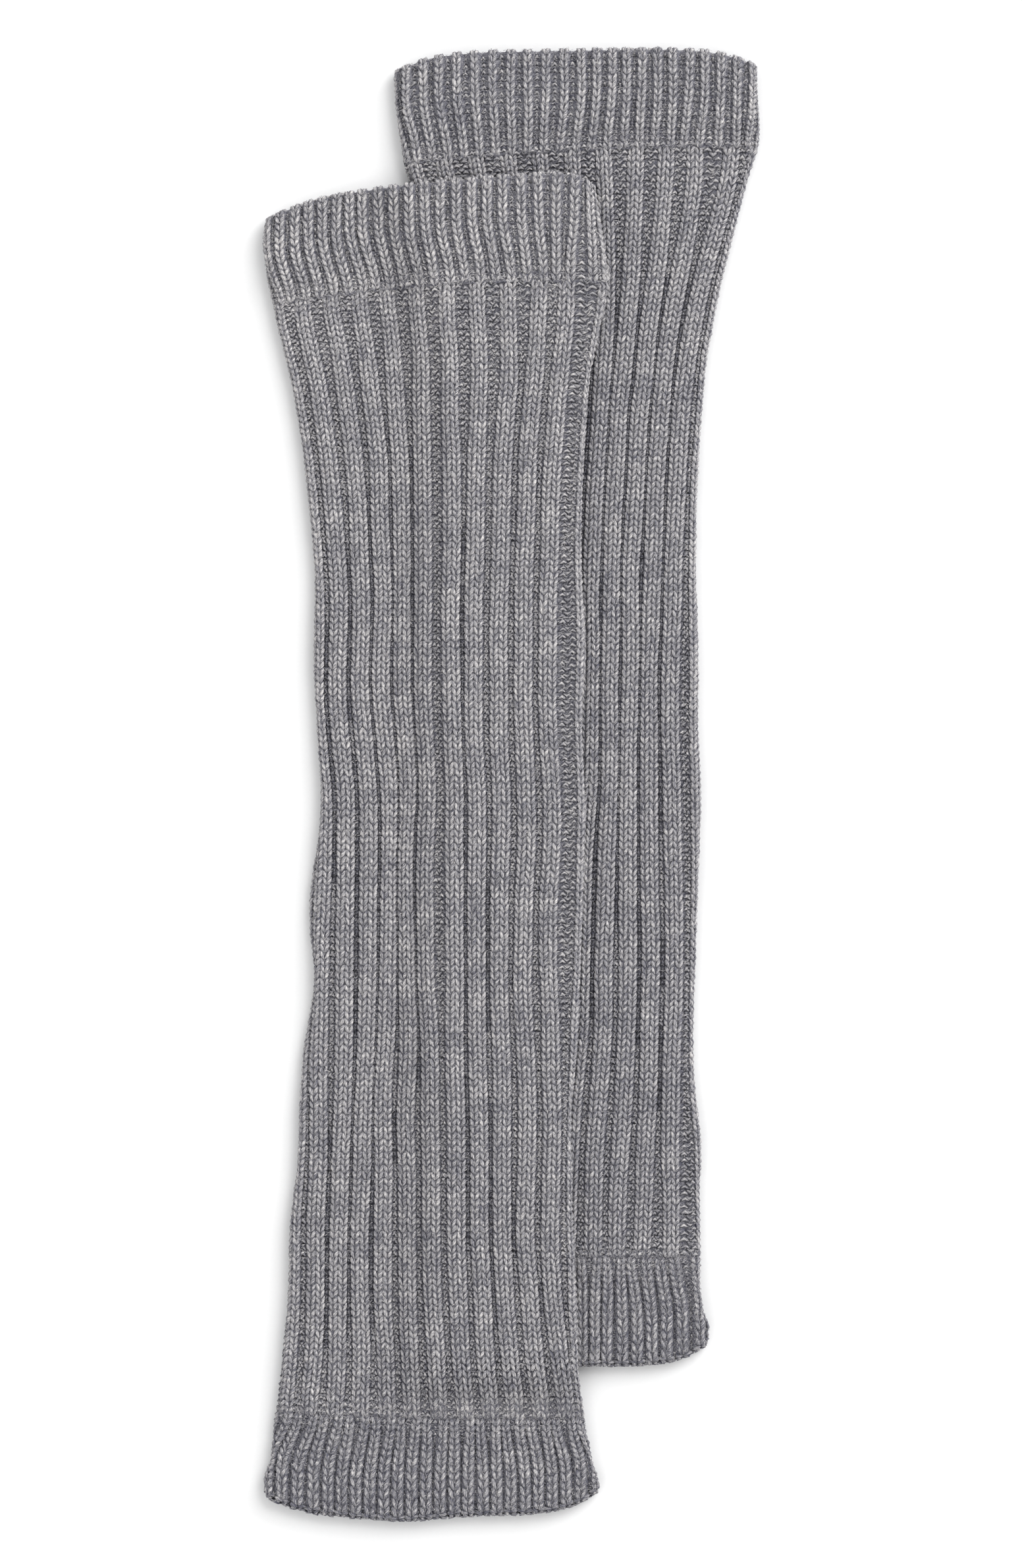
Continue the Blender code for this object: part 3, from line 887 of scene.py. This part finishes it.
def build_cloth(node, tube):
    """The tube's thin cloth: one closed skin over its outside, its edges and its inside."""
    stitches = tube.first + np.arange(CLOTH_AROUND) * STITCHES / CLOTH_AROUND
    rounding = np.linspace(0.0, 1.0, EDGE_LINES + 2)[1:-1]
    outside, inside = [np.linspace(0, tube.rows, max(fewest, tube.rows // rows))
                       for rows, fewest in LINES]
    foot_end = tube.rows + tube.over_foot
    turns = np.concatenate([outside, tube.rows + rounding * tube.over_foot, foot_end + inside,
                            foot_end + tube.rows + rounding * tube.over_top])
    down = len(turns)
    points = tube.base(stitches[None], turns[:, None]).reshape(-1, 3)
    line, place = np.meshgrid(np.arange(down), np.arange(CLOTH_AROUND), indexing="ij")
    start = line * CLOTH_AROUND
    next_start = np.mod(line + 1, down) * CLOTH_AROUND
    next_place = np.mod(place + 1, CLOTH_AROUND)
    loops = np.stack([start + place, next_start + place, next_start + next_place,
                      start + next_place], axis=-1)
    piece = new_mesh(node + "_cloth", points, loops.ravel(), np.full(line.size, 4), ground)
    u = np.stack([place, place, place + 1, place + 1], axis=-1) / CLOTH_AROUND
    v = np.stack([line, line + 1, line + 1, line], axis=-1) / down
    add_map(piece.data, "OFBake", np.stack([u.ravel(), v.ravel()], axis=-1))
    finish_piece(piece, node)
    return piece


def grid(stitches, rows):
    """Every one of the stitches at every one of the rows."""
    stitch, row = np.meshgrid(stitches, rows)
    return stitch.ravel(), row.ravel().astype(float)


# The least that the way out points upwards where these are built
KNIT_UP = -0.35  # round knit stitches; the others are flat
PURL_UP = -0.2
CUFF_PURL_UP = -0.3
FACE_UP = 0.3  # fibres, and the knit stitches that the other leg warmer can hide

# Loose fibres
LEG_FIBRES = {"front": 35000, "back": 16000}
CUFF_FIBRES = 5500
FIBRE_TRIES = 5  # places tried for each fibre
FIBRE_SHARES = (0.5, 1.1)  # a millimetre of knit and of purl
FIBRE_MOST = 3.3  # and what each try is held against
FIBRE_AT_SEAM = (1.0, 4, 4)  # this share more, with SEAM's rows
FIBRE_LEAN = 0.55  # spread of the angle from straight down the leg
PURL_LEAN = 1.2  # which the purls turn aside by this much
FIBRE_LENGTH = (1.2, 2.8)
FIBRE_HALF = (0.06, 0.12)
FIBRE_OUT = (0.45, 0.95)
BEND = (-0.35, 0.1, -0.35)
BEND_SPREAD = 0.12
FIBRE_TONES = 0.9
FIBRE_SHADE = -0.7


def fuzz(tube, count, above=0.0):
    """Loose fibres lying over the stitches, each a thin bent sliver."""
    tries = count * FIBRE_TRIES
    stitch = rng.uniform(0, STITCHES, tries)
    row = rng.uniform(-above, tube.rows, tries)
    step = 0.1
    width = np.abs(tube.across(stitch + step, row)[0] - tube.across(stitch - step, row)[0])
    # most lie in the purl valleys and at the seams
    share = np.where(tube.across(stitch, row)[1], *FIBRE_SHARES)
    even = width / (2 * step) * share
    even = even * (1.0 + at_end(np.minimum(row, tube.rows - row), *FIBRE_AT_SEAM))
    keep = (tube.up(stitch, row) > FACE_UP) & (even > rng.uniform(0, FIBRE_MOST, tries))
    keep &= ~tube.covered(stitch, row)
    stitch, row = stitch[keep][:count], row[keep][:count]
    count = len(stitch)
    spot, outward = tube.place(stitch, row)
    down = unit(outward * outward[:, 1:2] + (0.0, -1.0, 0.0))
    along = np.cross(down, outward)
    lean = rng.normal(0.0, FIBRE_LEAN, count)
    lean = lean + np.where(tube.across(stitch, row)[1], 0.0, PURL_LEAN)
    way = down * np.cos(lean)[:, None] + along * np.sin(lean)[:, None]
    length = rng.uniform(*FIBRE_LENGTH, count)
    reach = np.array([-0.5, 0.0, 0.5]) * length[:, None]
    rise = rng.uniform(*FIBRE_OUT, (count, 1)) + BEND
    rise = rise + rng.normal(0.0, BEND_SPREAD, (count, 3))
    centre = spot[:, None] + way[:, None] * reach[..., None] + outward[:, None] * rise[..., None]
    half = rng.uniform(*FIBRE_HALF, (count, 1))
    side = np.cross(outward, way)[:, None] * [[-1.0], [1.0]]
    rings = centre[:, 1, None] + side * half[..., None]
    steps = np.stack([np.zeros(count), length / 2, length], axis=1)
    dye = tube.pick(tube.dye, row) + rng.normal(0.0, FIBRE_TONES, count)
    return Batch(centre[:, [0, 2]], rings[:, None], steps, half, stitch, row, dye,
                 np.full(4, FIBRE_SHADE))


# ---- The pair ----

def leg_warmer(cuff, leg, ankle, ribs, row_heights, underside, hidden, cuff_face, cuff_half,
               ankle_face, lightness_steps):
    """The three tubes of one leg warmer."""
    middle = Tube(leg, row_heights, LEG_KNIT, "seam", "seam", underside, hidden)
    middle.edges = rib_edges(middle, ribs)
    top = Tube(cuff + leg[:1], WELT_ROWS, WELT_KNIT, "edge", "seam", underside, hidden)
    top.edges = cuff_edges(top, middle, 0, top.rows, cuff_face, cuff_half)
    foot = Tube(leg[-1:] + ankle, ANKLE_ROWS, ANKLE_KNIT, "seam", "edge", underside, hidden)
    foot.edges = cuff_edges(foot, middle, middle.rows, 0, ankle_face, ANKLE_HALF)

    down = np.arange(top.rows + 1)
    to_foot = top.rows - down
    top.waist = at_end(to_foot, *WELT_SINKS)
    top.notch = at_end(down, *WELT_TOP) + at_end(to_foot, *SEAM)
    down = np.arange(middle.rows + 1)
    to_end = np.minimum(down, middle.rows - down)
    middle.notch = at_end(to_end, *LEG_ENDS) + at_end(to_end, *SEAM)
    foot.notch = at_end(np.arange(foot.rows + 1), *ANKLE_SEAM)

    for tube, first, last in ((top, 0, 0), (middle, 1, 2), (foot, 3, 3)):
        tube.dye = np.linspace(lightness_steps[first], lightness_steps[last], tube.rows + 1)
    top.below = middle
    middle.above = top
    middle.below = foot
    foot.above = middle
    return top, middle, foot


TOP_LINE = (-84.0, 190.0, 0.115)  # along the front leg warmer's top: a place and the slope
WELL_UNDER = (4.0, 3.0)  # from its side and from that line


def under_front(x, y):
    """Whether a place lies well under the front leg warmer."""
    side = np.interp(y, *column_of(FRONT_CUFF + FRONT_LEG + FRONT_ANKLE, "right_x"))
    left, height, slope = TOP_LINE
    side_room, top_room = WELL_UNDER
    return (x < side - side_room) & (y < height + (x - left) * slope - top_room)


def nothing(x, y):
    """No place of the front leg warmer is covered."""
    return np.zeros(x.shape, bool)


front = leg_warmer(FRONT_CUFF, FRONT_LEG, FRONT_ANKLE, FRONT_RIBS, FRONT_ROWS, over_back,
                   nothing, FRONT_TOP_FACE, FRONT_WELT_HALF, FRONT_ANKLE_FACE, FRONT_LIGHTNESS)
back = leg_warmer(BACK_CUFF, BACK_LEG, BACK_ANKLE, BACK_RIBS, BACK_ROWS, on_floor,
                  under_front, BACK_TOP_FACE, BACK_WELT_HALF, BACK_ANKLE_FACE, BACK_LIGHTNESS)

WIDE_VALLEY = 1.9  # with room for whole purls


def leg_yarn(name, tube, fibres):
    """The stitches of one leg: knit columns all round, and the purls that show on its face."""
    pieces = []
    stitch, row = grid(LEG_KNITS, np.arange(tube.rows) + 0.5)
    up = tube.up(stitch, row)
    face = up > KNIT_UP
    shown = face & ~(tube.covered(stitch, row) & (up > FACE_UP))
    upper = row < tube.rows / 2
    for part, kind, chosen in (("upper", KNIT_LEG, upper & shown),
                               ("lower", KNIT_LEG, ~upper & shown), ("under", PLAIN_LEG, ~face)):
        batch = both_legs(tube, kind, stitch, row, chosen)
        pieces.append(build_yarn(name, part + "_stitches", [batch]))

    stitch, row = grid(LEG_PURLS, np.arange(tube.rows))
    keep = (tube.up(stitch, row) > PURL_UP) & ~tube.covered(stitch, row)
    stitch, row = stitch[keep], row[keep]
    reach = 0.99  # to either side, nearly to the knit
    valley = tube.across(stitch + reach, row)[0] - tube.across(stitch - reach, row)[0]
    wide = valley > WIDE_VALLEY
    batches = []
    for kind, chosen, shift, fall in (
            (NARROW_HEAD, ~wide, 0.0, 0.5), (NARROW_FOOT, ~wide, 0.0, 0.0),
            (PURL_HEAD, wide, -0.5, 0.4), (PURL_HEAD, wide, 0.5, 0.62),
            (PURL_FOOT, wide, 0.0, 0.0)):
        batches.append(strands(tube, kind, stitch[chosen] + shift, row[chosen] + fall))
    pieces.append(build_yarn(name, "purls", batches))
    pieces.append(build_yarn(name, "fuzz", [fuzz(tube, fibres)]))
    return pieces


def cuff_yarn(name, tube, is_top):
    """The stitches of one cuff: single knit columns all round and the purls between them."""
    # they go on over the cuff's edge for two rows
    rows = np.arange(tube.rows + 2) + (-1.5 if is_top else 0.5)
    stitch, row = grid(CUFF_KNITS, rows)
    under = tube.up(stitch, row) < KNIT_UP
    batches = [both_legs(tube, KNIT_LEG if is_top else KNIT_LOOSE, stitch, row, ~under),
               both_legs(tube, PLAIN_LEG, stitch, row, under)]
    stitch, row = grid(CUFF_PURLS, rows)
    keep = (tube.up(stitch, row) > CUFF_PURL_UP) & (row > 0.0)
    for kind, fall in ((PURL_HEAD, 0.0), (PURL_BELOW, 0.5)):
        batches.append(strands(tube, kind, stitch[keep], row[keep] + fall))
    if is_top:
        # the row that links the cuff to the leg
        stitch, row = grid(np.arange(STITCHES), [tube.rows - 0.05])
        row = row + rng.normal(0.0, 0.25, len(row))
        keep = tube.up(stitch, row) > PURL_UP
        batches.append(strands(tube, LINKED, stitch[keep], row[keep]))
    else:
        # the bound-off row, which lies double
        stitch, row = grid(np.arange(STITCHES), [tube.rows + 0.1, tube.rows + 0.7])
        batches.append(strands(tube, BOUND_OFF, stitch, row))
    batches.append(fuzz(tube, CUFF_FIBRES, above=1.0))
    return [build_yarn(name, "stitches", batches)]


def dress(side, tubes, flats):
    """Build the cloth and the stitches of one leg warmer."""
    for part, tube, flat in zip(("top_cuff", "leg", "bottom_cuff"), tubes, flats):
        name = f"{side}_{part}"
        cloth = build_cloth(name, tube)
        if part == "leg":
            pieces = leg_yarn(name, tube, LEG_FIBRES[side])
        else:
            pieces = cuff_yarn(name, tube, part == "top_cuff")


dress("back", back, ((0.245, 0.036), (0.19, 0.375), (0.19, 0.034)))
dress("front", front, ((0.235, 0.036), (0.195, 0.38), (0.225, 0.034)))


# ---- Floor, light and camera ----

FLOOR_HALF = 12000.0
WOOL_MIDDLE = 0.004  # metres over the floor
CAMERA_ABOVE = 2.4  # metres over that
VIEW_DOWN = 0.5319  # metres of it that the picture shows from top to foot
SENSOR = 36.0


def build_floor():
    """A wide white floor, which the wool lies on."""
    corners = np.array([(-1, -1, 0), (1, -1, 0), (1, 1, 0), (-1, 1, 0)]) * FLOOR_HALF
    new_mesh("floor", corners, np.arange(4), np.array([4]), paper())


def area_light(name, place, size, power):
    """A square soft light that looks at the middle of the pair."""
    light = bpy.data.lights.new(name, "AREA")
    light.size = size
    light.energy = power
    lamp = add_object(name, light)
    lamp.location = place
    lamp.rotation_euler = (-lamp.location).to_track_quat("-Z", "Y").to_euler()


def build_world():
    """Even light from all round."""
    world = bpy.data.worlds.new("studio")
    world.use_nodes = True
    light = world.node_tree.nodes["Background"].inputs
    light["Color"].default_value = (1.0, 1.0, 1.0, 1.0)
    light["Strength"].default_value = 0.74
    scene.world = world


def build_camera():
    """Straight above the pair, far off, so that the sides don't lean."""
    data = bpy.data.cameras.new("camera")
    data.sensor_width = SENSOR
    data.lens = SENSOR * CAMERA_ABOVE / VIEW_DOWN
    camera = add_object("camera", data)
    camera.location = (0.0, 0.0, CAMERA_ABOVE + WOOL_MIDDLE)
    scene.camera = camera


build_floor()
area_light("key", (1.7, 1.8, 2.3), 2.3, 67.0)
area_light("low_key", (2.4, 2.2, 1.2), 1.5, 32.0)
area_light("fill", (-1.6, -1.4, 2.2), 2.0, 13.0)
build_world()
build_camera()
scene.view_settings.view_transform = "Standard"
